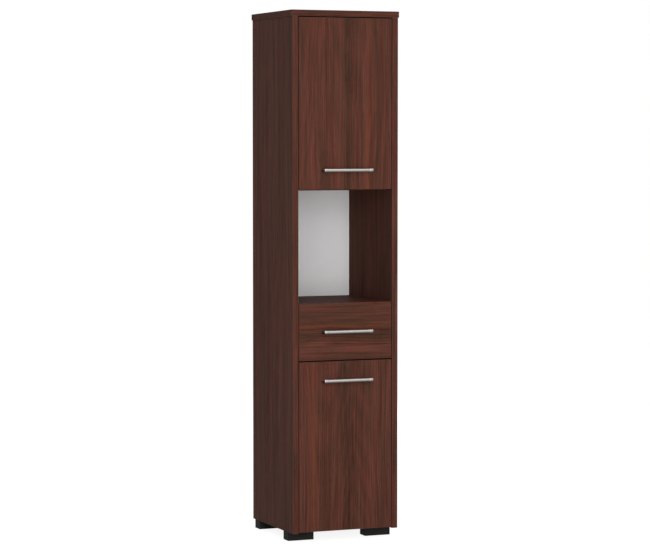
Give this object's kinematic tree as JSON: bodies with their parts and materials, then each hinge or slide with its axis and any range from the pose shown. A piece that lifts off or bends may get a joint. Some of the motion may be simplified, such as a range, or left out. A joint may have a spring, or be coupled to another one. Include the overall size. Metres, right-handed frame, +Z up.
{
  "type": "tall bathroom cabinet",
  "caption": "Tall narrow bathroom cabinet on low feet: hinged doors above and below a drawer and an open niche, in dark wood laminate with straight bar handles.",
  "frame": {"origin": "on the floor, below the middle of the cabinet's box, handles counted", "axes": "+Z up; the fronts face -Y; +X to the right of someone facing the fronts"},
  "size_m": [0.306, 0.325, 1.4],
  "materials": {
    "dark_laminate": "satin dark red-brown wood-grain laminate on particleboard",
    "white_hardboard": "white painted hardboard",
    "satin_metal": "satin",
    "black_plastic": "matte black",
    "white_nylon": "smooth",
    "coated_steel": "epoxy coated",
    "beech": "raw beech",
    "nickel_steel": "nickel plated",
    "zinc_alloy": "die-cast zinc",
    "zinc_steel": "zinc plated"
  },
  "bodies": {
    "cabinet": {"back_nails": "zinc_steel", "back_panel": "white_hardboard", "bottom_panel": "dark_laminate", "cabinet_left_runner": "coated_steel", "cabinet_right_runner": "coated_steel", "cam_bolts": "zinc_steel", "cam_locks": "zinc_alloy", "drawer_divider": "dark_laminate", "foot_screws": "zinc_steel", "front_left_foot": "black_plastic", "front_right_foot": "black_plastic", "left_side_panel": "dark_laminate", "lower_door_bottom_hinge_arm": "nickel_steel", "lower_door_bottom_hinge_plate": "nickel_steel", "lower_door_top_hinge_arm": "nickel_steel", "lower_door_top_hinge_plate": "nickel_steel", "lower_shelf": "dark_laminate", "niche_ceiling": "dark_laminate", "niche_floor": "dark_laminate", "rear_left_foot": "black_plastic", "rear_right_foot": "black_plastic", "right_side_panel": "dark_laminate", "shelf_pins": "zinc_steel", "side_hardware_screws": "zinc_steel", "top_panel": "dark_laminate", "upper_door_bottom_hinge_arm": "nickel_steel", "upper_door_bottom_hinge_plate": "nickel_steel", "upper_door_top_hinge_arm": "nickel_steel", "upper_door_top_hinge_plate": "nickel_steel", "upper_shelf": "dark_laminate", "wood_dowels": "beech"},
    "upper_door": {"upper_door_bottom_hinge_cup": "nickel_steel", "upper_door_cup_screws": "zinc_steel", "upper_door_handle": "satin_metal", "upper_door_handle_screws": "zinc_steel", "upper_door_hinge_pins": "nickel_steel", "upper_door_panel": "dark_laminate", "upper_door_top_hinge_cup": "nickel_steel"},
    "lower_door": {"lower_door_bottom_hinge_cup": "nickel_steel", "lower_door_cup_screws": "zinc_steel", "lower_door_handle": "satin_metal", "lower_door_handle_screws": "zinc_steel", "lower_door_hinge_pins": "nickel_steel", "lower_door_panel": "dark_laminate", "lower_door_top_hinge_cup": "nickel_steel"},
    "drawer": {"drawer_back": "dark_laminate", "drawer_bottom": "white_hardboard", "drawer_cam_bolts": "zinc_steel", "drawer_cam_locks": "zinc_alloy", "drawer_dowels": "beech", "drawer_front": "dark_laminate", "drawer_handle": "satin_metal", "drawer_handle_screws": "zinc_steel", "drawer_left_runner": "coated_steel", "drawer_left_side": "dark_laminate", "drawer_right_runner": "coated_steel", "drawer_right_side": "dark_laminate", "drawer_screws": "zinc_steel"},
    "cabinet_rollers": {"cabinet_rollers": "white_nylon"},
    "drawer_rollers": {"drawer_rollers": "white_nylon"}
  },
  "joints": [
    {"name": "upper_door_swing", "type": "hinge", "parent": "cabinet", "child": "upper_door", "pos_m": [0.121, -0.1305, 1.156], "axis": [0, 0, 1], "range_deg": [0, 105]},
    {"name": "lower_door_swing", "type": "hinge", "parent": "cabinet", "child": "lower_door", "pos_m": [0.121, -0.1305, 0.252], "axis": [0, 0, 1], "range_deg": [0, 105]},
    {"name": "drawer_slide", "type": "slide", "parent": "cabinet", "child": "drawer", "axis": [0, -1, 0], "range_m": [0, 0.19]},
    {"name": "cabinet_roller_spin", "type": "hinge", "parent": "cabinet", "child": "cabinet_rollers", "pos_m": [0, -0.1075, 0.5092], "axis": [1, 0, 0], "range_deg": [0, 1220]},
    {"name": "drawer_roller_spin", "type": "hinge", "parent": "drawer", "child": "drawer_rollers", "pos_m": [0, 0.1165, 0.5073], "axis": [1, 0, 0], "range_deg": [0, 1220]}
  ],
  "couplings": [
    {"joint": "cabinet_roller_spin", "follows": "drawer_slide", "rad_per_m": 111.11},
    {"joint": "drawer_roller_spin", "follows": "drawer_slide", "rad_per_m": 111.11}
  ]
}
